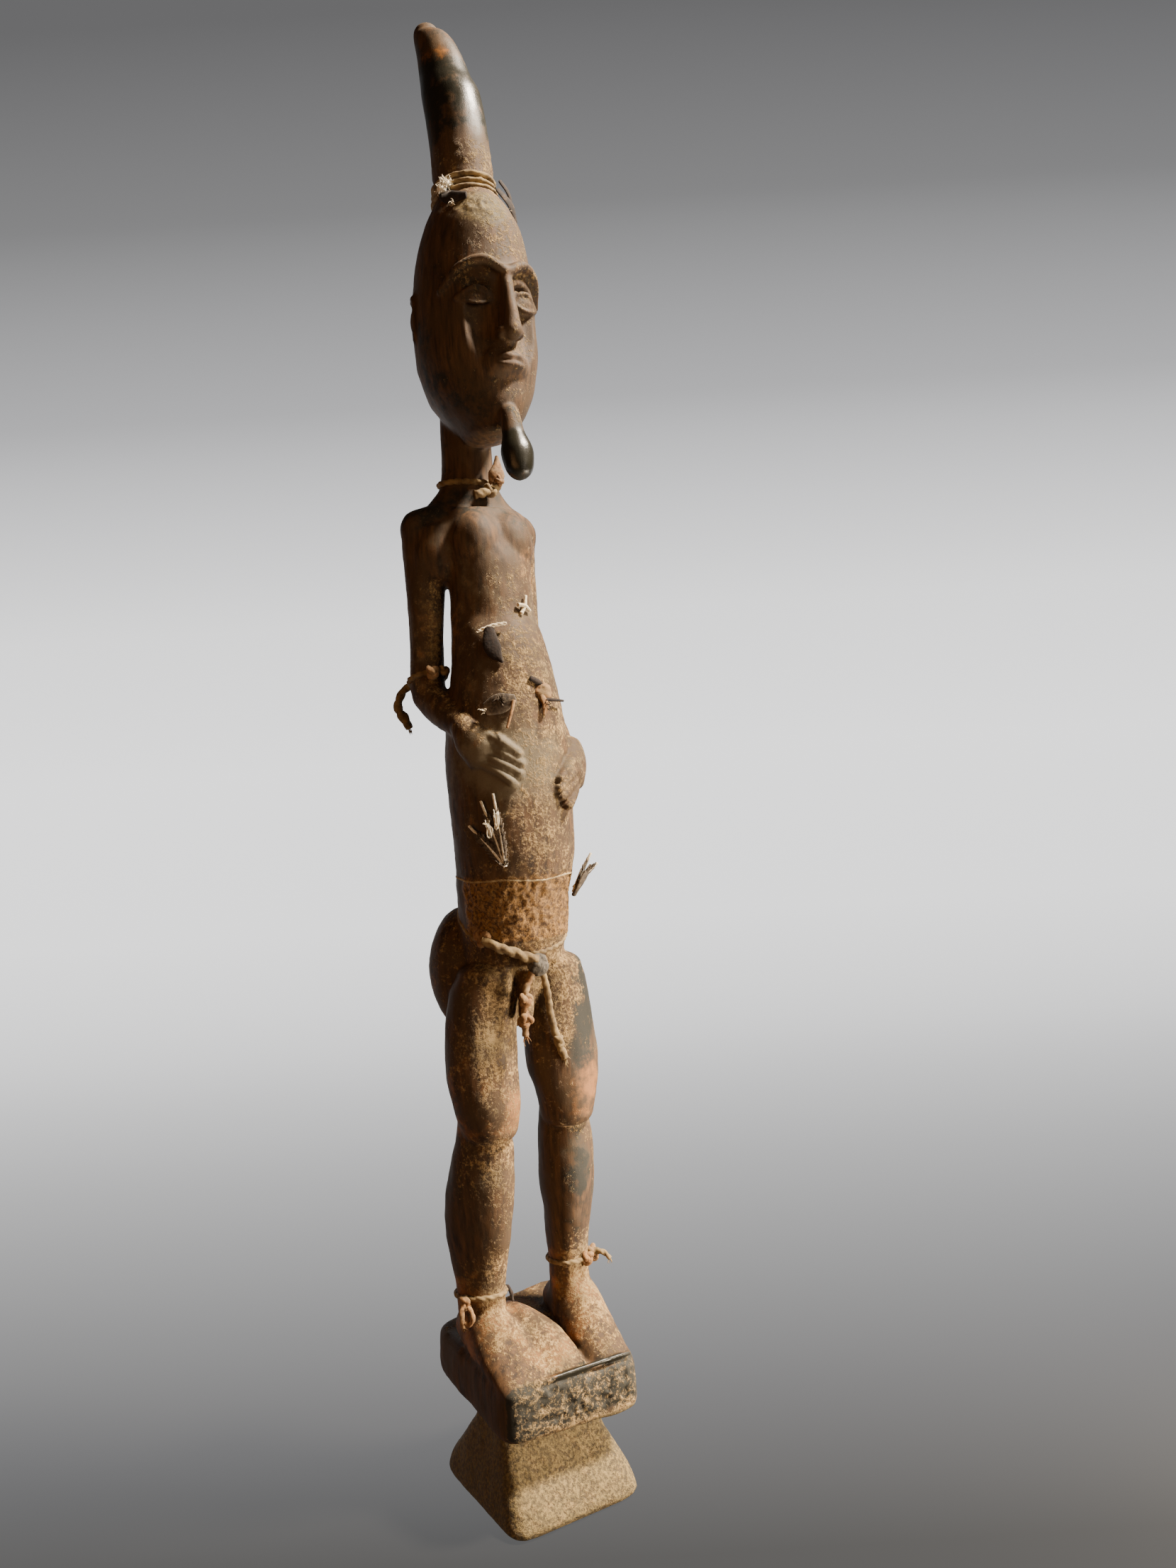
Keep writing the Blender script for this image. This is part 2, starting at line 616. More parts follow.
def crust_height(p):
    """How thick the clay crust lies in millimetres: a share for each height of the body, broken up
    by cloudy noise, thicker in patches at the front of the hips, the forehead and the block's face.
    Under the knees it turns to the depth of the knife cut there."""
    x, y, z = p.T
    lumps = cloudy(p, 3.2, 11)
    ridges = 1 - np.abs(2 * cloudy(p, 4.6, 17) - 1) * 2.2
    flakes = smoothstep(cloudy(p, 4.2, 23), 0.47, 0.56)
    belly = within(z, HIP + 2, HIP + 14, ELBOW + 14, ELBOW + 28) * smoothstep(np.abs(x), 30, 20)
    base = smoothstep(z, BLOCK_FOOT + 3, BLOCK_FOOT - 3)
    thick = 0.42 * lumps * (0.3 + 0.7 * np.maximum(belly, base))
    band = within(z, HIP + 3, HIP + 11, WAIST, WAIST + 8) * smoothstep(y, 0, -14)
    thick += band * np.clip(ridges, 0, 1) * 1.15
    brow_patch = bell(x, -5, 13) * bell(z, CREST_FOOT - 16, 11) * (y < -6)
    thick += brow_patch * (0.5 + np.clip(ridges, 0, 1))
    horn_foot = within(z, CREST_FOOT + 9, CREST_FOOT + 13, CREST_FOOT + 17, CREST_FOOT + 27)
    thick += horn_foot * 0.7 * lumps
    block_face = within(z, BLOCK_FOOT - 1, BLOCK_FOOT + 2, BASE_TOP - 6.5, BASE_TOP - 2.5)
    block_face *= smoothstep(y, -33, -35.5)
    thick += block_face * flakes * 0.8 * (0.35 + 0.65 * smoothstep(x, -24, -8))
    wrist = bell(x, -22, 10) * bell(z, ELBOW - 26, 12) * (y < -8)
    knee_cut = bell(z, KNEE + 0.6, 1.3) * smoothstep(y, -4, -10)
    return thick + wrist * 0.5 * lumps - knee_cut * 1.3


def figure_skin():
    """The masses grown into one skin by a voxel remesh, calmed where the carver blended them and
    left crisp at the knees, the hips, the face, the fingers and the base, then moved along its
    normals by the tool marks and the crust."""
    masses = base_masses() + leg_masses(RIGHT) + leg_masses(LEFT) + hip_masses() + trunk_masses()
    masses += shoulder_masses() + arm_masses(RIGHT) + arm_masses(LEFT)
    masses += head_masses() + face_masses()
    figure = object_of("carved_wood", mesh_of("carved_wood", masses))
    remesh = figure.modifiers.new("one block", "REMESH")
    remesh.mode = "VOXEL"
    remesh.voxel_size = SKIN_VOXEL * MM
    mesh = finished(figure)
    places = vertex_places(mesh)
    corners = quad_corners(mesh)
    x, y, z = places.T
    chest = within(z, ELBOW + 22, ELBOW + 42, CHIN - 22, CHIN - 8)
    joints = 0.5 * within(z, HIP + 8, HIP + 20, HIP + 26, HIP + 46)
    joints += within(z, BASE_TOP + 0.5, BASE_TOP + 8.5, BASE_TOP + 26.5, BASE_TOP + 50.5)
    face = within(z, CHIN - 26, CHIN - 18, CREST_FOOT - 23, CREST_FOOT - 7) * smoothstep(y, -8, -16)
    fingers = within(z, ELBOW - 70, ELBOW - 60, ELBOW - 18, ELBOW - 10) * smoothstep(y, -6, -14)
    base = smoothstep(z, BASE_TOP + 6.5, BASE_TOP + 0.5)
    creases = within(z, KNEE - 6, KNEE - 1, KNEE + 12, KNEE + 18)
    creases += within(z, HIP - 16, HIP - 11, HIP + 3, HIP + 8)
    crisp = 0.27 * face + 0.24 * fingers + 0.22 * base + 0.26 * creases
    strength = np.clip(0.32 + 0.25 * chest + 0.4 * joints - crisp, 0.04, 0.9)
    places = calmed(places, corners, strength, 9)
    places = calmed(places, corners, np.clip(chest * 0.7 * (1 - face), 0, 1), 6)
    places[:, 2] = np.maximum(places[:, 2], 0)
    move_vertices(mesh, places)
    normals = vectors_of(mesh.vertex_normals, "vector")
    edge = within(z, BASE_TOP - 5.5, BASE_TOP - 2.5, BASE_TOP + 1.5, BASE_TOP + 5.5)
    edge *= smoothstep(y, -28, -33)
    horn = smoothstep(z, CREST_FOOT + 21, CREST_FOOT + 33)
    smooth_parts = np.maximum(np.maximum(horn, face * 0.75), edge)
    long_cuts = (cloudy(places * (1, 1, 0.55), 15, 3) - 0.5) * 1.5
    short_cuts = (cloudy(places, 6, 5) - 0.5) * 0.55
    cuts = (long_cuts + short_cuts) * (1 - 0.65 * smooth_parts)
    crust = crust_height(places) * (1 - smooth_parts * 0.85)
    off_ground = smoothstep(places[:, 2], 0.2, 3)
    move_vertices(mesh, places + normals * ((cuts + crust) * off_ground)[:, None])
    thin = figure.modifiers.new("even faces", "DECIMATE")
    thin.ratio = min(1, FIGURE_FACES / (2 * len(corners)))
    return figure, finished(figure)


def store(mesh, name, values):
    """A number from 0 to 1 at each vertex, under a name that a material can read."""
    layer = mesh.attributes.new(name, "FLOAT", "POINT")
    layer.data.foreach_set("value", np.clip(values, 0, 1).astype(np.float32))


def mark_surfaces(mesh):
    """Stores where the figure is crusted with clay, glossy with oil, rubbed to orange wood,
    blackened, ash-grey, caked with grey clay on the forehead and the foot of the base, and matted
    with fibre under the waist: shares by height, with patches where hands and oil reached."""
    p = vertex_places(mesh)
    aside, ahead, _ = vectors_of(mesh.vertex_normals, "vector").T
    x, y, z = p.T
    front = smoothstep(ahead, 0.35, -0.45)
    broad = cloudy(p, 26, 31)
    middle = cloudy(p, 9, 37)
    # Each row is a height and the shares there of crust, gloss, wear, black and ash.
    crust, gloss, wear, black, ash = through([
        [0, 0.9, 0.06, 0.04, 0.04, 0.3],
        [40, 0.9, 0.06, 0.04, 0.06, 0.3],
        [48, 0.54, 0.3, 0.04, 0.95, 0.1],
        [64, 0.5, 0.4, 0.06, 0.95, 0.1],
        [74, 0.7, 0.15, 0.55, 0.1, 0.1],
        [104, 0.68, 0.15, 0.48, 0.12, 0.1],
        [124, 0.55, 0.12, 0.16, 0.4, 0.2],
        [166, 0.6, 0.1, 0.14, 0.3, 0.3],
        [178, 0.52, 0.2, 0.34, 0.3, 0.1],
        [206, 0.66, 0.2, 0.34, 0.3, 0.3],
        [250, 0.7, 0.2, 0.26, 0.22, 0.2],
        [300, 0.62, 0.1, 0.2, 0.16, 0.3],
        [372, 0.62, 0.1, 0.22, 0.16, 0.35],
        [424, 0.6, 0.04, 0.36, 0.24, 0.44],
        [446, 0.56, 0.06, 0.3, 0.3, 0.36],
        [470, 0.3, 0.2, 0.12, 0.56, 0.2],
        [500, 0.46, 0.2, 0.1, 0.42, 0.16],
        [575, 0.5, 0.24, 0.12, 0.38, 0.16],
        [612, 0.62, 0.12, 0.12, 0.2, 0.1],
        [632, 0.62, 0.2, 0.14, 0.3, 0.1],
        [646, 0.06, 0.7, 0.14, 0.66, 0.15],
        [674, 0.06, 0.75, 0.12, 0.68, 0.15],
        [684, 0.06, 0.6, 0.22, 0.46, 0.15],
        [TOTAL_HEIGHT, 0.2, 0.5, 0.2, 0.34, 0.2],
    ], z).T

    def spot(at_x, at_z, wide, high):
        """1 at a place on the front, falling off as a bell over the width and the height."""
        return bell(x, at_x, wide) * bell(z, at_z, high) * front

    crust = crust + (broad - 0.5) * 0.5 - 0.24 * (1 - front) - 0.16 * smoothstep(aside, -0.2, -0.8)
    peg = within(z, CHIN - 30, CHIN - 26, CHIN - 10, CHIN - 2) * smoothstep(y, -22, -26)
    block_edge = bell(z, 67.6, 1.9) * smoothstep(y, -32.4, -34) * within(x, -12, -7, 24, 30)
    hand = spot(-18, 346, 11, 15)
    soot = 1.25 * spot(30, 234, 8.5, 18) + 1.1 * spot(24, 208, 7, 13) + spot(22, 142, 8, 22)
    soot = soot * (0.45 + 0.7 * smoothstep(middle, 0.25, 0.6))
    crust = crust - 0.3 * hand - 0.3 * soot
    crust = crust - 0.25 * spot(26, 190, 10, 14) - 0.3 * spot(0, 446, 24, 9)
    gloss = np.maximum(gloss + (middle - 0.5) * 0.5, peg) + 0.4 * spot(-10, 444, 14, 6) + block_edge
    wear = wear + (broad - 0.5) * 0.7 + (middle - 0.5) * 0.6 + 0.3 * spot(27, 188, 8, 15)
    wear = wear + 0.36 * spot(-13, 188, 7, 11) + 0.25 * spot(10, 425, 9, 14)
    wear = wear + 0.22 * spot(-9, 684, 6, 8)
    wear = wear + 0.35 * bell(x, 0, 5) * smoothstep(y, -35, -38) * (z > NOSE_FOOT - 2) * (z < BROW)
    black = black + (broad - 0.5) * 0.6 + (middle - 0.5) * 0.4 + 0.6 * soot
    block = smoothstep(z, BASE_TOP + 8.5, BASE_TOP + 0.5)
    black = black - 0.75 * block * (1 - smoothstep(ahead, -0.3, -0.75))
    black = np.maximum(black, np.maximum(peg, block_edge) * 0.95)
    ash = ash + (middle - 0.5) * 0.4 + 0.6 * hand + 0.5 * spot(-2, 340, 16, 16) + 0.3 * soot
    foot = smoothstep(z, BLOCK_FOOT - 1, BLOCK_FOOT - 5)
    states = {
        "crust": crust * (1 - peg) * (1 - 0.9 * block_edge),
        "gloss": gloss,
        "wear": wear,
        "black": black,
        "ash": ash,
        "caked": spot(-5, CREST_FOOT - 16, 14, 12) + 0.66 * foot,
        "matted": within(z, HIP + 4, HIP + 12, WAIST - 4, WAIST + 12) * smoothstep(y, 2, -12),
    }
    for name, share in states.items():
        store(mesh, name, share)


def linear(code):
    """A colour from its sRGB hex code, turned to linear light."""
    parts = np.array([int(code[place:place + 2], 16) for place in (1, 3, 5)]) / 255
    light = np.where(parts <= 0.04045, parts / 12.92, ((parts + 0.055) / 1.055) ** 2.4)
    return (*light.tolist(), 1.0)


def add_node(tree, kind, feeds=None, **settings):
    """Adds a node with its settings. Feeds give each input a value or the socket it follows."""
    node = tree.nodes.new(kind)
    for name, value in settings.items():
        setattr(node, name, value)
    for socket, feed in (feeds or {}).items():
        if isinstance(feed, bpy.types.NodeSocket):
            tree.links.new(feed, node.inputs[socket])
        else:
            node.inputs[socket].default_value = feed
    return node


def new_material(name):
    """An empty node material with its shader and the object's own coordinates in metres."""
    material = bpy.data.materials.new(name)
    material.use_nodes = True
    tree = material.node_tree
    shader = tree.nodes["Principled BSDF"]
    place = add_node(tree, "ShaderNodeTexCoord").outputs["Object"]
    return material, tree, shader, place


def per_metre(size):
    """The texture scale that makes a pattern repeat about every size millimetres."""
    return 1 / (size * MM)


def layered(tree, colour, layers, fade="SMOOTHSTEP"):
    """Colours laid one over another, each a hex code or a socket. An upper colour comes in as its
    value climbs from low to high."""
    for value, low, high, upper in layers:
        share = add_node(tree, "ShaderNodeMapRange", {
            "Value": value, "From Min": low, "From Max": high,
        }, interpolation_type=fade).outputs["Result"]
        under, over = [
            linear(paint) if isinstance(paint, str) else paint for paint in (colour, upper)]
        colour = add_node(tree, "ShaderNodeMix", {
            0: share, 6: under, 7: over,
        }, data_type="RGBA").outputs[2]
    return colour


def oiled_wood():
    """Old carved hardwood: dark oiled fibres, worn orange-brown by hands, a black-green patina of
    oil with a soft shine, and a dry tan clay crust that fills the pores and breaks into specks."""
    material, tree, shader, place = new_material("oiled_and_crusted_hardwood")

    # Each noise has a size in millimetres. The grain's is drawn out along the trunk.
    along = add_node(tree, "ShaderNodeMapping", {"Vector": place, "Scale": (1, 1, 0.12)}).outputs[0]
    grain, broad, patches, specks, pores = [add_node(tree, "ShaderNodeTexNoise", {
        "Vector": where, "Scale": per_metre(size), "Detail": detail, "Roughness": roughness,
    }).outputs["Fac"] for where, size, detail, roughness in [
        (along, 2.4, 5, 0.6),
        (place, 16, 4, 0.6),
        (place, 5, 5, 0.65),
        (place, 1.5, 4, 0.7),
        (place, 0.6, 3, 0.7),
    ]]

    # Each state's stored share is broken up by the patches, and the crust's by the specks too.
    states = {}
    for name, by_patches, by_specks in [
        ("ash", 0.7, 0), ("black", 1.1, 0), ("wear", 0.9, 0), ("crust", 0.9, 1.15),
        ("caked", 0.6, 0), ("matted", 0.7, 0), ("gloss", 0.5, 0),
    ]:
        state = add_node(tree, "ShaderNodeAttribute", attribute_name=name).outputs["Fac"]
        for noise, amount in [(patches, by_patches), (specks, by_specks)]:
            shift = add_node(tree, "ShaderNodeMath", {
                0: noise, 1: amount, 2: -amount / 2,
            }, operation="MULTIPLY_ADD").outputs[0]
            state = add_node(tree, "ShaderNodeMath", {
                0: state, 1: shift,
            }, operation="ADD").outputs[0]
        states[name] = state

    wood = layered(tree, "#2b1e12", [
        (grain, 0.3, 0.72, "#5d4227"),
        (broad, 0.35, 0.7, "#453420"),
        (states["ash"], 0.35, 0.75, "#665b47"),
        (states["black"], 0.42, 0.72, "#211f17"),
        (states["wear"], 0.42, 0.8, "#8a5b2f"),
    ])
    tan = layered(tree, "#6b5231", [(specks, 0.35, 0.68, "#a98c5e"), (broad, 0.4, 0.7, "#7d6946")])
    grey = layered(tree, "#4b402d", [(specks, 0.38, 0.66, "#7d6b45")])
    mat = layered(tree, "#402a15", [(specks, 0.36, 0.64, "#96703e")])
    coat = layered(tree, wood, [
        (states["crust"], 0.5, 0.86, tan),
        (states["caked"], 0.4, 0.7, grey),
        (states["matted"], 0.35, 0.7, mat),
        (pores, 0.6, 0.75, "#291e10"),
    ])
    tree.links.new(coat, shader.inputs["Base Color"])

    # Bare wood has a roughness of 0.72, the crust up to 0.92, and the most oiled wood 0.3.
    crust, shine = [add_node(tree, "ShaderNodeMapRange", {
        "Value": states[name], "From Min": low, "From Max": high,
    }, interpolation_type="SMOOTHSTEP").outputs["Result"] for name, low, high in [
        ("crust", 0.5, 0.86),
        ("gloss", 0.3, 0.95),
    ]]
    dry = add_node(tree, "ShaderNodeMath", {
        0: crust, 1: 0.2, 2: 0.72,
    }, operation="MULTIPLY_ADD").outputs[0]
    roughness = add_node(tree, "ShaderNodeMix", {
        0: shine, 2: dry, 3: 0.3,
    }, data_type="FLOAT").outputs[0]
    tree.links.new(roughness, shader.inputs["Roughness"])
    shader.inputs["IOR"].default_value = 1.5
    shader.inputs["Specular IOR Level"].default_value = 0.36

    # Pores, grains of crust and wood fibres stand in relief by these depths in millimetres.
    grains = add_node(tree, "ShaderNodeMath", {
        0: crust, 1: specks,
    }, operation="MULTIPLY").outputs[0]
    below = {}
    for height, depth, strength in [(pores, 0.15, 0.5), (grains, 0.7, 0.8), (grain, 0.3, 0.35)]:
        relief = add_node(tree, "ShaderNodeBump", {
            "Height": height, "Distance": depth * MM, "Strength": strength, **below,
        }).outputs[0]
        below = {"Normal": relief}
    tree.links.new(relief, shader.inputs["Normal"])
    return material


figure, skin = figure_skin()
mark_surfaces(skin)
shade_smooth(skin)
skin.materials.clear()
skin.materials.append(oiled_wood())
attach(figure, "root")
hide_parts("carved_figure")


# The tied pieces begin at the crest. Three turns of hand-twisted bark cord bind the foot of the
# horn, now caked with clay, and stiff dark strips of hide are caught under them.
surface = BVHTree.FromPolygons(
    vertex_places(skin).tolist(), [tuple(face.vertices) for face in skin.polygons])
CORD = 1.6
CORD_PITCH = 8.0
RING_POINTS = 260
RUN_POINTS = 40
KNOT_POINTS = 90
STRIP_POINTS = 24


def kept_clear(points, lift):
    """The points, moved straight out of the wood where they lie less than a lift above it."""
    found = [surface.find_nearest(Vector(point)) for point in points]
    spots = np.array([spot[:] for spot, *_ in found])
    outward = np.array([normal[:] for _, normal, *_ in found])
    above = ((points - spots) * outward).sum(axis=1)
    return np.where((above < lift)[:, None], spots + outward * lift, points)


def ring_line(centre, height_at, turns=1.0, lift=0.3, reach=60.0):
    """A line wound about a mass. A level ray leaves the centre at each bearing, and the line lies a
    lift beyond the wood it comes out of, or inside, near the reach, where a limb joins on."""
    bearings = np.linspace(0, 2 * np.pi * turns, int(RING_POINTS * turns))
    points = []
    for bearing in bearings:
        start = Vector((*centre, height_at(bearing)))
        way = Vector((math.cos(bearing), math.sin(bearing), 0))
        spot, _, _, far = surface.ray_cast(start, way, reach)
        points.append(start + way * (reach - 2 if spot is None else far + lift))
    line = np.array(points)
    eased = line.copy()
    for _ in range(3):
        eased[1:-1] = (eased[:-2] + eased[1:-1] + eased[2:]) / 3
    return eased


def tube(line, radius, sides=12, plies=1, pitch=CORD_PITCH, flat=1.0):
    """Rings of radius R across a line. Plies twisted together have the outline
    R (0.72 + 0.28 |cos(n (a - 2 pi s / pitch) / 2)|), with s the length so far."""
    tangent = unit(np.gradient(line, axis=0))
    side = np.empty_like(line)
    across = np.cross(tangent[0], (0.31, 0.2, 0.93))
    for index, way in enumerate(tangent):
        across = unit(across - way * (across @ way))
        side[index] = across
    out = np.cross(tangent, side)
    angle = np.linspace(0, 2 * np.pi, sides, endpoint=False)
    size = np.broadcast_to(np.asarray(radius, float), len(line))[:, None] * np.ones(sides)
    if plies > 1:
        length = np.concatenate([[0], np.cumsum(np.linalg.norm(np.diff(line, axis=0), axis=1))])
        swing = angle - (2 * np.pi * length / pitch)[:, None]
        size = size * (0.72 + 0.28 * np.abs(np.cos(plies * swing / 2)))
    shape = line[:, None] + side[:, None] * (size * np.cos(angle))[..., None]
    return shape + out[:, None] * (size * flat * np.sin(angle))[..., None]


def rough(grid, depth, size=2.2, seed=41):
    """A grid with each point moved away from its ring's middle by cloudy noise, of one depth or of
    one for each ring."""
    middle = grid.mean(axis=1, keepdims=True)
    noise = cloudy(grid.reshape(-1, 3), size, seed).reshape(grid.shape[:2])
    push = (noise - 0.5) * 2 * np.reshape(depth, (-1, 1))
    return grid + unit(grid - middle) * push[..., None]


def cord(line, radius=CORD, pitch=CORD_PITCH):
    """A two-ply twisted cord with clay caught in it."""
    return rough(tube(line, radius, sides=14, plies=2, pitch=pitch), radius * 0.16)


def loose(points, radii, pitch=CORD_PITCH):
    """A free run of cord on a smooth curve through the points, kept clear of the wood. Its radius
    is one value, a first and a last one, or one for each of its points."""
    radii = np.linspace(*radii, RUN_POINTS) if isinstance(radii, tuple) else radii
    line = curve_through(points, RUN_POINTS)
    return cord(kept_clear(line, np.max(radii) * 0.85), radii, pitch)


def overhand(centre, size, radius=CORD * 0.9, turn=(0, 0, 0)):
    """A pulled overhand knot: the trefoil (sin t + 2 sin 2t, cos t - 2 cos 2t, -1.3 sin 3t), scaled
    so that its lobes reach the size, and turned about x, y and z in that order."""
    t = np.linspace(0, 2 * np.pi, KNOT_POINTS)
    shape = np.stack([
        np.sin(t) + 2 * np.sin(2 * t),
        np.cos(t) - 2 * np.cos(2 * t),
        -1.3 * np.sin(3 * t),
    ], axis=-1)
    bend = np.array(Matrix.Rotation(turn[2], 3, "Z") @ Matrix.Rotation(turn[1], 3, "Y")
                    @ Matrix.Rotation(turn[0], 3, "X"))
    return cord(np.asarray(centre, float) + shape @ bend.T * (size - radius) / 3, radius)


def fibres(root, way, count, length, seed, spread=0.35, radius=0.22):
    """Fine fibres that leave a root in a cone about a way, each a little bent and pointed."""
    source = np.random.default_rng(seed)
    grids = []
    for _ in range(count):
        start = np.asarray(root, float) + source.normal(0, 0.5, 3)
        aim = unit(np.asarray(way, float) + source.normal(0, spread, 3))
        reach = length * source.uniform(0.45, 1)
        bend = source.normal(0, 0.14, 3) * reach
        line = curve_through([start, start + aim * reach * 0.5 + bend, start + aim * reach], 6)
        grids.append(tube(line, np.linspace(radius, radius * 0.4, 6), sides=5))
    return grids


def strip(stations, facing, lift=0.5):
    """A stiff strip or flake on a curve through [x, y, z, half width, half thickness], clear of the
    wood, its faces a little cockled."""
    table = np.asarray(stations, float)
    line = kept_clear(curve_through(table[:, :3], STRIP_POINTS), lift)
    order = np.linspace(0, len(table) - 1, STRIP_POINTS)
    sizes = through(np.column_stack([np.arange(len(table)), table[:, 3:]]), order)
    grid = limb(np.column_stack([line, sizes]), facing=facing, sides=24)
    return rough(grid, 0.35, 3.5, 43)


def stranded_material(name, dark, light, clay, caked):
    """Dry matter in strands: a fine mottle from dark to light, and over it patches of clay, which
    spread as the caked share goes from 0 to 1."""
    material, tree, shader, place = new_material(name)
    fine, coarse = [add_node(tree, "ShaderNodeTexNoise", {
        "Vector": place, "Scale": per_metre(size), "Detail": detail,
    }).outputs["Fac"] for size, detail in [(1.3, 4), (6, 3)]]
    coat = layered(tree, dark, [
        (fine, 0.32, 0.68, light),
        (coarse, 0.62 - 0.3 * caked, 0.78 - 0.2 * caked, clay),
    ], "LINEAR")
    tree.links.new(coat, shader.inputs["Base Color"])
    shader.inputs["Roughness"].default_value = 0.9
    bump = add_node(tree, "ShaderNodeBump", {"Height": fine, "Distance": 0.3 * MM, "Strength": 0.6})
    tree.links.new(bump.outputs[0], shader.inputs["Normal"])
    return material


def tied_piece(node, parts):
    """One piece from pairs of a material and its closed grids, tied on in its node's place."""
    mesh = mesh_of("tied_" + node, [grid for _, grids in parts for grid in grids])
    which = [index for index, (_, grids) in enumerate(parts) for grid in grids
             for _ in range((grid.shape[0] + 1) * grid.shape[1])]
    mesh.polygons.foreach_set("material_index", which)
    shade_smooth(mesh)
    for material, _ in parts:
        mesh.materials.append(material)
    piece = object_of("tied_" + node, mesh)
    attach(piece, "root")
    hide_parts(node)


# Bark cord dulled by clay, cord rubbed to warm ochre, hide dried near black, and pale fibre.
caked_cord = stranded_material("clay_caked_bark_cord", "#4c3c29", "#766140", "#86714c", 0.8)
ochre_cord = stranded_material("ochre_rubbed_cord", "#644629", "#956c42", "#846b4a", 0.5)
dark_hide = stranded_material("dry_dark_hide", "#120b07", "#291b11", "#5c4833", 0.0)
pale_chips = stranded_material("pale_fibre_chips", "#b9a482", "#dccfb4", "#a08a6a", 0.1)
binding = ring_line(
    (-0.4, 1.8), lambda bearing: CREST_FOOT - 2.8 + 0.5 * bearing, turns=3, lift=0.15)
tied_piece("crest_binding", [
    (caked_cord, [rough(tube(binding, 1.45, sides=12, flat=0.8), 0.5, 3)]),
    (dark_hide, [
        strip([[12, -12, 619, 1.8, 0.7], [16.5, -11.5, 614, 2.2, 0.7], [19.5, -9, 606, 1.2, 0.6]],
              (0.7, -0.7, 0)),
        strip([[8, -16.5, 612, 2, 0.8], [14, -17, 606, 3, 0.7], [18.5, -13.5, 600, 1.4, 0.6]],
              (0.6, -0.8, 0)),
        strip([[-15, -6, 612, 2, 0.8], [-16.5, -13, 605.5, 3.2, 0.8], [-11, -20.5, 604, 1.6, 0.7]],
              (-0.5, -0.8, 0)),
    ]),
    (pale_chips, [
        *fibres((-15.5, -15.5, 601), (-0.6, -0.6, 0.1), 9, 3.4, 51),
        *fibres((11, -19, 602), (0, -1, 0), 5, 2, 52),
    ]),
])


# A tuft of plant down, pushed in under the cord at the right of the crest. Fine pale hairs stand
# out round a loose core.
raw_down = stranded_material("pale_plant_down", "#cfc3aa", "#ede5d3", "#b5a585", 0.0)
tufts = kept_clear(np.array([[-15.0, -9.5, 613.4], [-17.4, -9.0, 610.6]]), 2.0)
tied_piece("crest_tuft", [(raw_down, [
    *[rough(lump(spot, [2.1, 2.1, 1.9], sides=20), 0.5, 1.4) for spot in tufts],
    *fibres(tufts[0], (-0.6, -0.7, 0.3), 70, 4.6, 61, spread=0.7, radius=0.2),
    *fibres(tufts[1], (-0.7, -0.5, -0.2), 45, 3.8, 62, spread=0.7, radius=0.2),
])])


# The neck cord, a two-ply ring at the foot of the neck. In front it carries a folded leaf of dried
# hide that points up, and under it a round knot with a cut end.
dried_leaf = stranded_material("folded_dried_hide", "#4f3824", "#8c6a47", "#7d6a50", 0.4)
tied_piece("neck_cord", [
    (caked_cord, [
        cord(ring_line((0, NECK_Y), lambda bearing: SHOULDER + 23 + math.sin(bearing))),
        overhand((3.2, -0.6, 474.6), 4.4, turn=(1.2, 0.3, 0)),
        loose([[2.4, 0, 475], [-1.6, -2.4, 472.6], [-6.4, -1.4, 471.6]], (2, 2.4)),
    ]),
    (dried_leaf, [
        strip([
            [5, 1.6, 477, 2.2, 1.8],
            [6.5, -0.6, 482, 4.2, 2],
            [7, -0.6, 486, 2.6, 1.6],
            [7.4, 0, 491, 0.7, 0.7],
        ], (0, -1, 0), 1.5),
        overhand((7.2, -1.4, 479), 3.4, 1.2, (0.4, 0.9, 0.2)),
    ]),
])


# The elbow cords, one above each elbow. The right one is knotted twice in front, and its stiff
# spare end stands out behind in a loop.
def elbow_ring(side):
    pinch = ARM_PINCH if side == LEFT else 0
    centre = (side * (ARM_X + 2.4 - pinch), ARM_Y - 2.6)
    return cord(ring_line(centre, lambda bearing: ELBOW + 4 - 2.4 * math.sin(bearing), reach=11.5))


tied_piece("right_elbow_cord", [
    (caked_cord, [
        elbow_ring(RIGHT),
        overhand((-25, 3.6, ELBOW + 6.6), 3.4, 1.3, (0.5, 0.4, 0)),
        loose([
            [-34, 25, 384], [-37, 28, 380.5], [-39, 29, 374], [-36, 28, 367.5], [-34, 28, 363.5],
        ], np.concatenate([np.linspace(1.8, 2.6, 30), np.linspace(2.6, 1.7, 10)]), pitch=11),
        *fibres((-34, 28, 363.5), (0.3, 0.1, -1), 9, 3, 71),
    ]),
    (ochre_cord, [overhand((-31.2, 3.4, ELBOW + 6), 4, 1.6, (1.4, 0.2, 0.3))]),
])
tied_piece("left_elbow_cord", [(caked_cord, [
    elbow_ring(LEFT),
    overhand((29.5, 4, ELBOW + 6), 4, 1.5, (1.2, 0, 0.4)),
])])


# The waist thread. A single thin pale strand round the narrow of the waist, slack enough to wave.
raw_thread = stranded_material("pale_spun_thread", "#84704f", "#b29c74", "#7f6a49", 0.4)
waist_line = ring_line(
    (0, -6),
    lambda bearing: WAIST + 3 + math.sin(bearing) + 0.5 * math.sin(5 * bearing),
    lift=-0.25)
tied_piece("waist_thread", [(raw_thread, [cord(waist_line, 0.6, pitch=3)])])


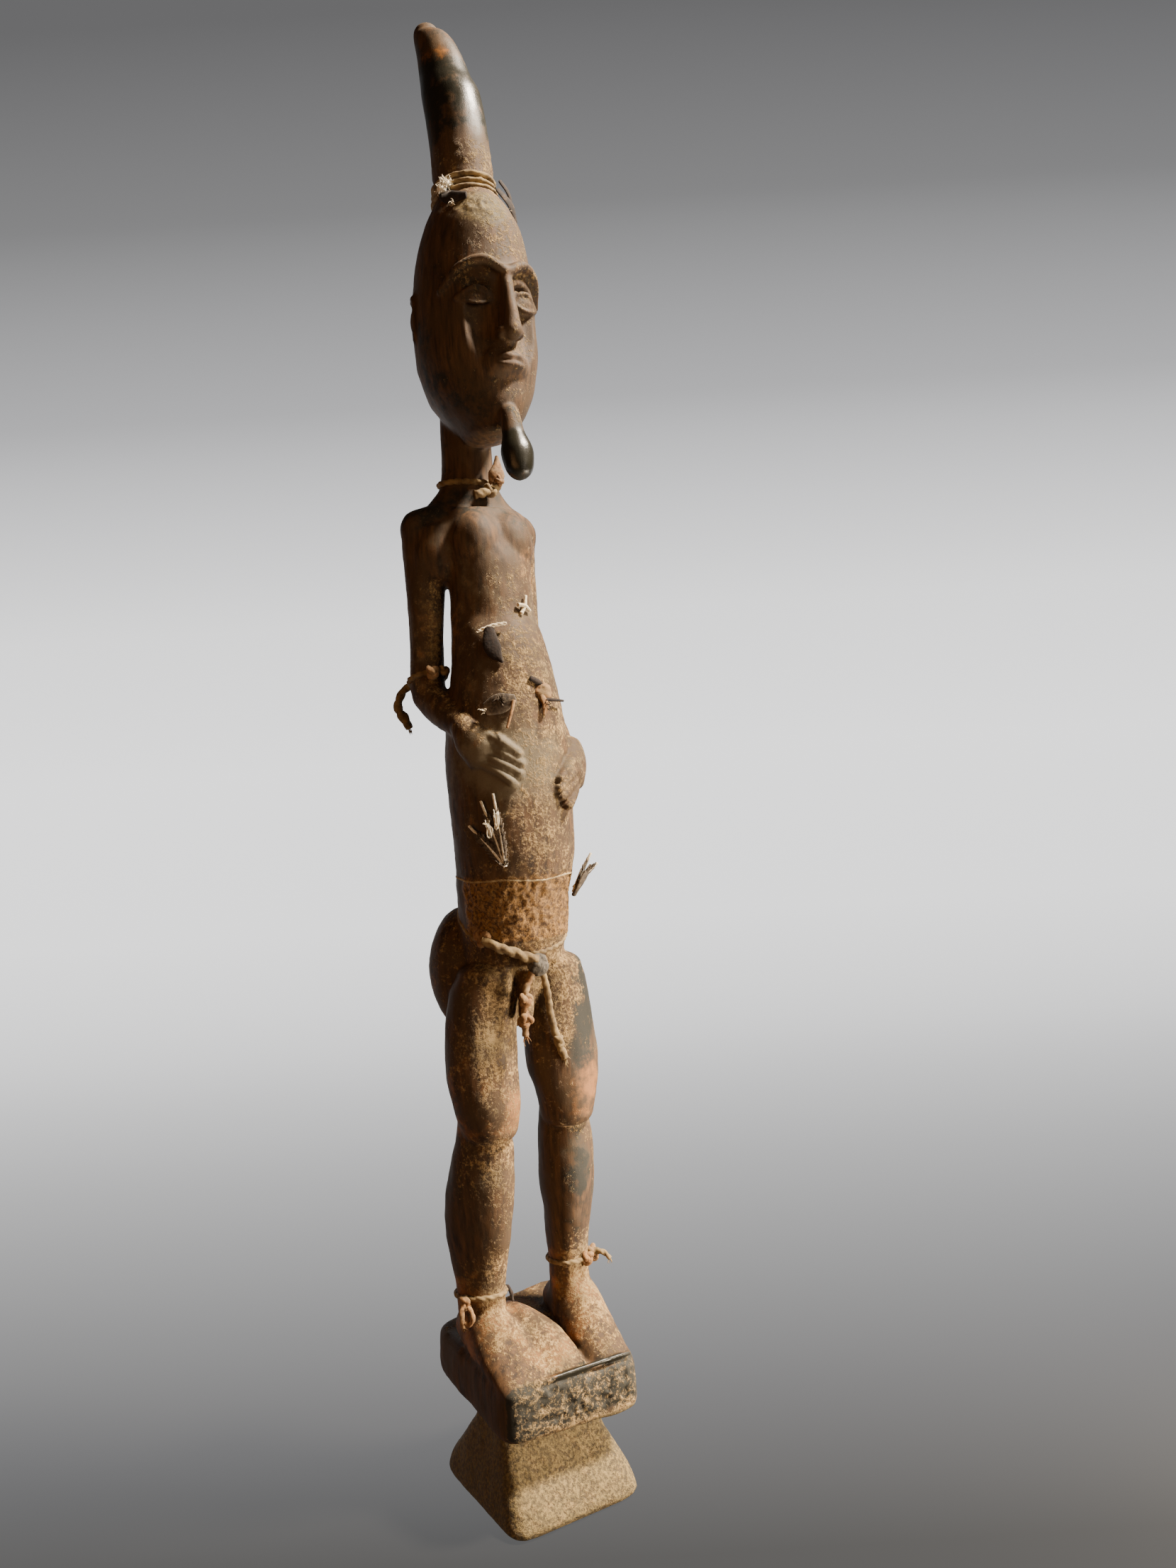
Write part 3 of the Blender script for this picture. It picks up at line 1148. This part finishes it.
# The hip cord, slung low in front over the hips. A barrel knot at the right, a stiff twisted run to
# the big clay-caked knot in the middle, a hanging end with two knots, and a long tail to the left.
front_cake = stranded_material("blackened_clay_knot", "#2e2a24", "#5e564a", "#8a7763", 0.3)
hip_line = ring_line((0, -1), lambda bearing: HIP + 14 + 12 * math.sin(bearing), lift=-0.8)
tied_piece("hip_cord", [
    (caked_cord, [
        cord(hip_line, 1.45),
        loose([[-23, -16.5, 264.4], [-15, -23, 259.4], [-8, -26.6, 255.2], [-2, -28.4, 253]],
              (2.3, 2.7), pitch=13),
        loose([
            [0.5, -26.5, 249], [4, -24, 239], [7, -20.6, 226], [10.4, -19.8, 213], [13.6, -20, 204],
        ], (1.6, 2.1), pitch=10),
        overhand((10.6, -21, 213), 3.4, 1.4, (1.3, 0.2, 0.8)),
        *fibres((13.6, -20.6, 204), (0.2, -0.1, -1), 10, 4, 81),
    ]),
    (ochre_cord, [
        overhand((-23, -16, 264.5), 4.8, 2, (1.5, 0.3, -0.8)),
        loose([[-4, -26.4, 248], [-8, -26.6, 240], [-9.6, -26.8, 230], [-9.4, -26, 219]],
              1.7, pitch=7),
        overhand((-8.8, -27, 235.5), 4, 1.7, (1.3, 0.3, 0.2)),
        overhand((-9.4, -27, 226.5), 4.2, 1.6, (1.8, 0.8, 0.1)),
        *fibres((-9.4, -26, 219), (0, -0.1, -1), 12, 4.5, 82),
    ]),
    (front_cake, [
        rough(lump((-1.2, -27, 250.6), [5, 4, 5.2], sides=36), 1.1, 2.6),
        overhand((-1.4, -28, 250.8), 4.6, 1.8, (1.5, 0.2, 0.1)),
    ]),
])


# The ankle cords, each knotted at its outer side. The right one's ends hang down in an open loop,
# and the left one's knot is rubbed to ochre and has a bent tail.
RIGHT_ANKLE = 96.0
LEFT_ANKLE = 101.0


def ankle_ring(side, height):
    centre = (side * (LEG_X + 0.5), 7)
    return cord(ring_line(centre, lambda bearing: height - math.sin(bearing), reach=24), 1.3)


tied_piece("right_ankle_cord", [
    (caked_cord, [ankle_ring(RIGHT, RIGHT_ANKLE)]),
    (ochre_cord, [
        overhand((-35, 2, 95.4), 4, 1.5, (1.3, 0.4, 1.2)),
        loose([[-36.5, 1, 95], [-38, -0.6, 91], [-37.8, -1.4, 85.5]], 1.4),
        loose([[-34.6, -1.4, 94], [-34.2, -4.6, 90.5], [-35.6, -3.4, 87], [-37, -1.8, 88]], 1.2),
        *fibres((-37.8, -1.4, 85.5), (-0.1, -0.2, -1), 8, 3, 91),
    ]),
    (dark_hide, [loose([[-13.4, 2, 97], [-12.6, -1, 95.4], [-13.2, -4, 92]], (1.3, 0.7))]),
])
tied_piece("left_ankle_cord", [
    (ochre_cord, [
        overhand((34.5, 2, 101), 4.6, 1.8, (1.2, 0.2, 0.9)),
        overhand((28, -4.4, 102), 4, 1.7, (1.5, 0.3, 0.2)),
    ]),
    (caked_cord, [
        ankle_ring(LEFT, LEFT_ANKLE),
        loose([[34, 0.5, 102.4], [37.4, -3.4, 102], [40.4, -5, 98.6]], (1.9, 1.1)),
        *fibres((40.2, -5, 98.6), (0.2, -0.1, -1), 8, 3, 92),
    ]),
])


# Three feathers, stuck upright in the clay at the right of the belly. Bare horn-pale quills come
# out of dark ragged vanes.
dark_vane = stranded_material("dusty_feather_vane", "#2e251d", "#5d5040", "#8a7a66", 0.2)
bare_quill = stranded_material("horn_pale_quill", "#bfae8c", "#efe6d2", "#a8977a", 0.0)


FEATHER_POINTS = 40
FIRST_BARB = 2
LAST_BARB = 29
VANE_END = 38


def feather(points, width, seed, facing):
    """A quill that tapers along the points, and over its lower part a ragged vane of close barbs,
    each a sliver slanting up to either side. The vane's width is half a sine wave."""
    line = kept_clear(curve_through(points, FEATHER_POINTS), 1.0)
    quill = tube(line, np.linspace(0.9, 0.6, FEATHER_POINTS), sides=10)
    source = np.random.default_rng(seed)
    along = unit(line[-1] - line[0])
    across = unit(np.cross(np.asarray(facing, float), along))
    barbs = []
    for index in range(FIRST_BARB, LAST_BARB + 1):
        for side in (RIGHT, LEFT):
            span = width * math.sin(math.pi * (index + 4) / VANE_END) * source.uniform(0.6, 1)
            start = line[index]
            tip = start + across * side * span + along * (2.4 + source.uniform(0, 1.4))
            middle = (start + tip) / 2 + unit(np.asarray(facing, float)) * 0.4
            barb = curve_through([start, middle, tip], 6)
            barbs.append(tube(barb, np.linspace(0.6, 0.25, 6), sides=6))
    return quill, barbs


belly_quills = [
    feather([[-17, -31, 297], [-20.5, -29.2, 311], [-24.6, -25.6, 327]], 3.2, 101, (-0.6, -0.8, 0)),
    feather([[-17, -31, 297], [-18.6, -31.4, 312], [-20.6, -30.4, 330]], 2.6, 102, (-0.6, -0.8, 0)),
    feather([[-17, -31, 297], [-22.4, -27, 306], [-28, -19, 316]], 3.4, 103, (-0.6, -0.8, 0)),
]
tied_piece("belly_feathers", [
    (bare_quill, [
        *[quill for quill, _ in belly_quills],
        *fibres((-22.6, -28.6, 311), (-0.35, -0.2, 1), 14, 9, 104, spread=0.14, radius=0.42),
        *fibres((-20.2, -31.2, 314), (-0.1, -0.1, 1), 10, 8, 106, spread=0.12, radius=0.42),
    ]),
    (dark_vane, [
        *[barb for _, barbs in belly_quills for barb in barbs],
        *fibres((-17, -31.6, 298), (-0.4, -0.6, 0.7), 14, 6, 105, radius=0.3),
    ]),
])


# A bundle of feather ends, pushed in at the left side above the hip, its blades broken short.
side_quills = [
    feather([[23.6, -20, 281], [27, -22.4, 290], [32, -24.4, 299]], 5.2, 111, (0.7, -0.6, 0)),
    feather([[23.8, -20, 283], [29.4, -22.8, 289.5], [35, -24.8, 294]], 4.6, 112, (0.7, -0.6, 0)),
]
tied_piece("side_feathers", [
    (bare_quill, [quill for quill, _ in side_quills]),
    (dark_vane, [
        *[barb for _, barbs in side_quills for barb in barbs],
        strip([[23.6, -20.4, 280, 2, 1], [27, -22.6, 286, 4.4, 1.1], [31.6, -24, 293, 1.6, 0.7]],
              (0.7, -0.6, 0)),
    ]),
])


# A clump of quill stubs and feather flakes, caked on the front of the belly with ochre clay.
def stem(points, thick, thin, lift, count=20, sides=12):
    """A bare stalk that tapers along a smooth curve through the points."""
    line = kept_clear(curve_through(points, count), lift)
    return tube(line, np.linspace(thick, thin, count), sides=sides)


tied_piece("belly_clump", [
    (ochre_cord, [
        rough(lump((7, -32.6, 374.6), [4, 2, 4.6], sides=30), 1.2, 2.4),
        strip([[5.6, -33.4, 373, 1.4, 1], [6.6, -35, 368.5, 1.8, 1], [5, -36, 364.5, 1, 0.7]],
              (0.2, -1, 0), 1),
    ]),
    (dark_hide, [
        strip([
            [0.6, -31.4, 381, 1.2, 0.7],
            [4, -32.4, 379.6, 1.4, 0.8],
            [7.4, -33, 377.4, 0.9, 0.6],
        ], (0.2, -1, 0), 1),
        stem([[7, -33.6, 371], [11, -34, 371], [17.6, -32, 370.6]], 1.1, 0.5, 0.8),
        *fibres((6.5, -34, 370), (0.1, -0.8, -0.6), 12, 5, 121, radius=0.35),
    ]),
])


# A dry flake of feather above the right hand, with one bare ochre quill across its edge.
tied_piece("hand_flake", [
    (dark_vane, [
        strip([[-20, -27, 368, 3, 0.8], [-15, -31.4, 370, 4.6, 0.9], [-9, -34.4, 371.5, 2.4, 0.8]],
              (-0.5, -0.9, 0), 1),
        *fibres((-15, -32.4, 371), (-0.4, -0.7, 0.6), 30, 4.4, 131, spread=0.6, radius=0.26),
    ]),
    (ochre_cord, [
        stem([[-9.6, -35, 371], [-12, -36, 365], [-14.4, -36, 358.6]], 0.9, 0.6, 1, count=24),
    ]),
    (pale_chips, fibres((-21, -27.6, 367), (-0.8, -0.5, 0.1), 9, 3, 132)),
])


# Bark cloth shreds on the upper belly: a frayed pale selvage and a dark flap, one corner lifted.
tied_piece("chest_shreds", [
    (pale_chips, [
        loose([[-17.4, -20, 404], [-12.6, -23.6, 406], [-6.4, -26.4, 407]], (1.1, 0.8), pitch=5),
        *fibres((-17.4, -20.6, 404), (-0.7, -0.6, 0), 7, 2.6, 141),
    ]),
    (dark_hide, [
        strip([[-14, -23, 405, 2.2, 0.9], [-14, -25.4, 396, 4, 0.8], [-11, -28.4, 389, 0.8, 0.6]],
              (-0.5, -0.9, 0), 0.9),
    ]),
])


# Two short pale straws, crossed and stuck to the left of the chest.
tied_piece("chest_straw", [(pale_chips, [
    stem([[4, -21, 412], [6.4, -21, 416], [7.8, -20, 421]], 1, 0.7, 0.9, sides=9),
    stem([[2.6, -21.6, 416.4], [6.4, -21.4, 416], [10, -19.2, 414]], 1, 0.7, 0.9, sides=9),
])])


# The studio. A graduated seamless backdrop, darker towards its top and its front edge. A soft key
# from the figure's left and above, a faint front light, a low one that reaches the foot of the base
# under the block's shadow, a faint warm fill, and the camera where the photograph was taken from.
CAMERA_SIDE = (-0.515, -0.857, 0.0)
CAMERA_RIGHT = (0.857, -0.515, 0.0)
CAMERA_AWAY = 565.0
CAMERA_ASIDE = 40.6
CAMERA_HEIGHT = 331.6
CAMERA_ROLL = math.radians(3.5)
LENS = 27.19
SWEEP_FRONT = -480.0
SWEEP_BACK = 900.0
SWEEP_RADIUS = 900.0
SWEEP_HALF = 1900.0
SWEEP_TOP = 2600.0
SWEEP_STEPS = 40


def sweep_mesh():
    """A profile carried sideways: flat floor, a quarter circle, then the wall. The climb, from 0 at
    the front edge to 1 at the top, is the share of the profile's length."""
    floor = np.linspace(SWEEP_FRONT, SWEEP_BACK, SWEEP_STEPS)
    arc = np.radians(np.linspace(0, 90, SWEEP_STEPS))[1:]
    wall = np.linspace(SWEEP_RADIUS, SWEEP_TOP, SWEEP_STEPS)[1:]
    away = np.concatenate([floor, SWEEP_BACK + SWEEP_RADIUS * np.sin(arc)])
    away = np.concatenate([away, np.full(len(wall), SWEEP_BACK + SWEEP_RADIUS)])
    height = np.concatenate([np.zeros_like(floor), SWEEP_RADIUS * (1 - np.cos(arc)), wall])
    length = np.concatenate([[0], np.cumsum(np.hypot(np.diff(away), np.diff(height)))])
    back = -np.array(CAMERA_SIDE)
    right = np.array(CAMERA_RIGHT)
    rise = np.array([0, 0, 1])
    profile = away[:, None] * back + height[:, None] * rise
    points = np.concatenate([profile - right * SWEEP_HALF, profile + right * SWEEP_HALF])
    count = len(profile)
    faces = [[step, count + step, count + step + 1, step + 1] for step in range(count - 1)]
    mesh = bpy.data.meshes.new("studio_sweep")
    mesh.from_pydata((points * MM).tolist(), [], faces)
    shade_smooth(mesh)
    store(mesh, "climb", np.tile(length / length[-1], 2))
    return mesh


def graduated_paper():
    """Matt paper, lit from behind, whose brightness follows the climb."""
    material, tree, shader, _ = new_material("graduated_paper_backdrop")
    climb = add_node(tree, "ShaderNodeAttribute", attribute_name="climb").outputs["Fac"]
    tones = add_node(tree, "ShaderNodeValToRGB", {"Fac": climb})
    steps = [
        (0.0, "#3a3a3a"), (0.093, "#404040"), (0.125, "#606061"), (0.21, "#979798"),
        (0.305, "#c4c4c5"), (0.41, "#efeff0"), (0.5, "#f4f4f5"), (0.57, "#e5e5e6"),
        (0.62, "#bfbfc1"), (0.667, "#929294"), (0.755, "#636364"), (0.843, "#4e4e4f"),
    ]
    ramp = tones.color_ramp
    ramp.elements.remove(ramp.elements[1])
    ramp.elements[0].color = linear(steps[0][1])
    for place, code in steps[1:]:
        ramp.elements.new(place).color = linear(code)
    tree.links.new(tones.outputs["Color"], shader.inputs["Emission Color"])
    shader.inputs["Emission Strength"].default_value = 1.9
    shader.inputs["Base Color"].default_value = linear("#101010")
    shader.inputs["Roughness"].default_value = 1.0
    shader.inputs["Specular IOR Level"].default_value = 0.0
    return material


sweep = object_of("studio_sweep", sweep_mesh())
sweep.data.materials.append(graduated_paper())


# Each lamp has a place and an aim in millimetres, a diameter, a power in watts and a colour.
for name, place, aim, size, power, colour in [
    ("key", (740, -590, 1620), (0, 0, 380), 260, 150, "#fff0dc"),
    ("front_soft", (420, -1400, 420), (0, 0, 380), 700, 5, "#fff0dc"),
    ("low_side", (330, -255, 105), (0, -20, 25), 160, 6.5, "#ffecd2"),
    ("fill", (-1300, -700, 300), (0, 0, 300), 900, 5.5, "#ffba78"),
]:
    light = bpy.data.lights.new(name, "AREA")
    light.shape = "DISK"
    light.size = size * MM
    light.energy = power
    light.color = linear(colour)[:3]
    lamp = object_of(name, light)
    lamp.location = Vector(place) * MM
    lamp.rotation_euler = (Vector(aim) - Vector(place)).to_track_quat("-Z", "Y").to_euler()

world = bpy.data.worlds.new("studio")
world.use_nodes = True
surround = world.node_tree.nodes["Background"]
surround.inputs["Color"].default_value = linear("#d9d5cd")
surround.inputs["Strength"].default_value = 0.035
bpy.context.scene.world = world

view = bpy.data.cameras.new("photograph")
view.lens = LENS
view.sensor_width = 36
view.clip_end = 20
camera = object_of("photograph", view)
back = Vector(CAMERA_SIDE).normalized()
across = Vector(CAMERA_RIGHT).normalized()
up = Vector((0, 0, 1))
spot = back * CAMERA_AWAY + across * CAMERA_ASIDE + up * CAMERA_HEIGHT
rolled_right = across * math.cos(CAMERA_ROLL) - up * math.sin(CAMERA_ROLL)
rolled_up = across * math.sin(CAMERA_ROLL) + up * math.cos(CAMERA_ROLL)
turned = Matrix((rolled_right, rolled_up, back)).transposed().to_4x4()
camera.matrix_world = Matrix.Translation(spot * MM) @ turned
bpy.context.scene.camera = camera
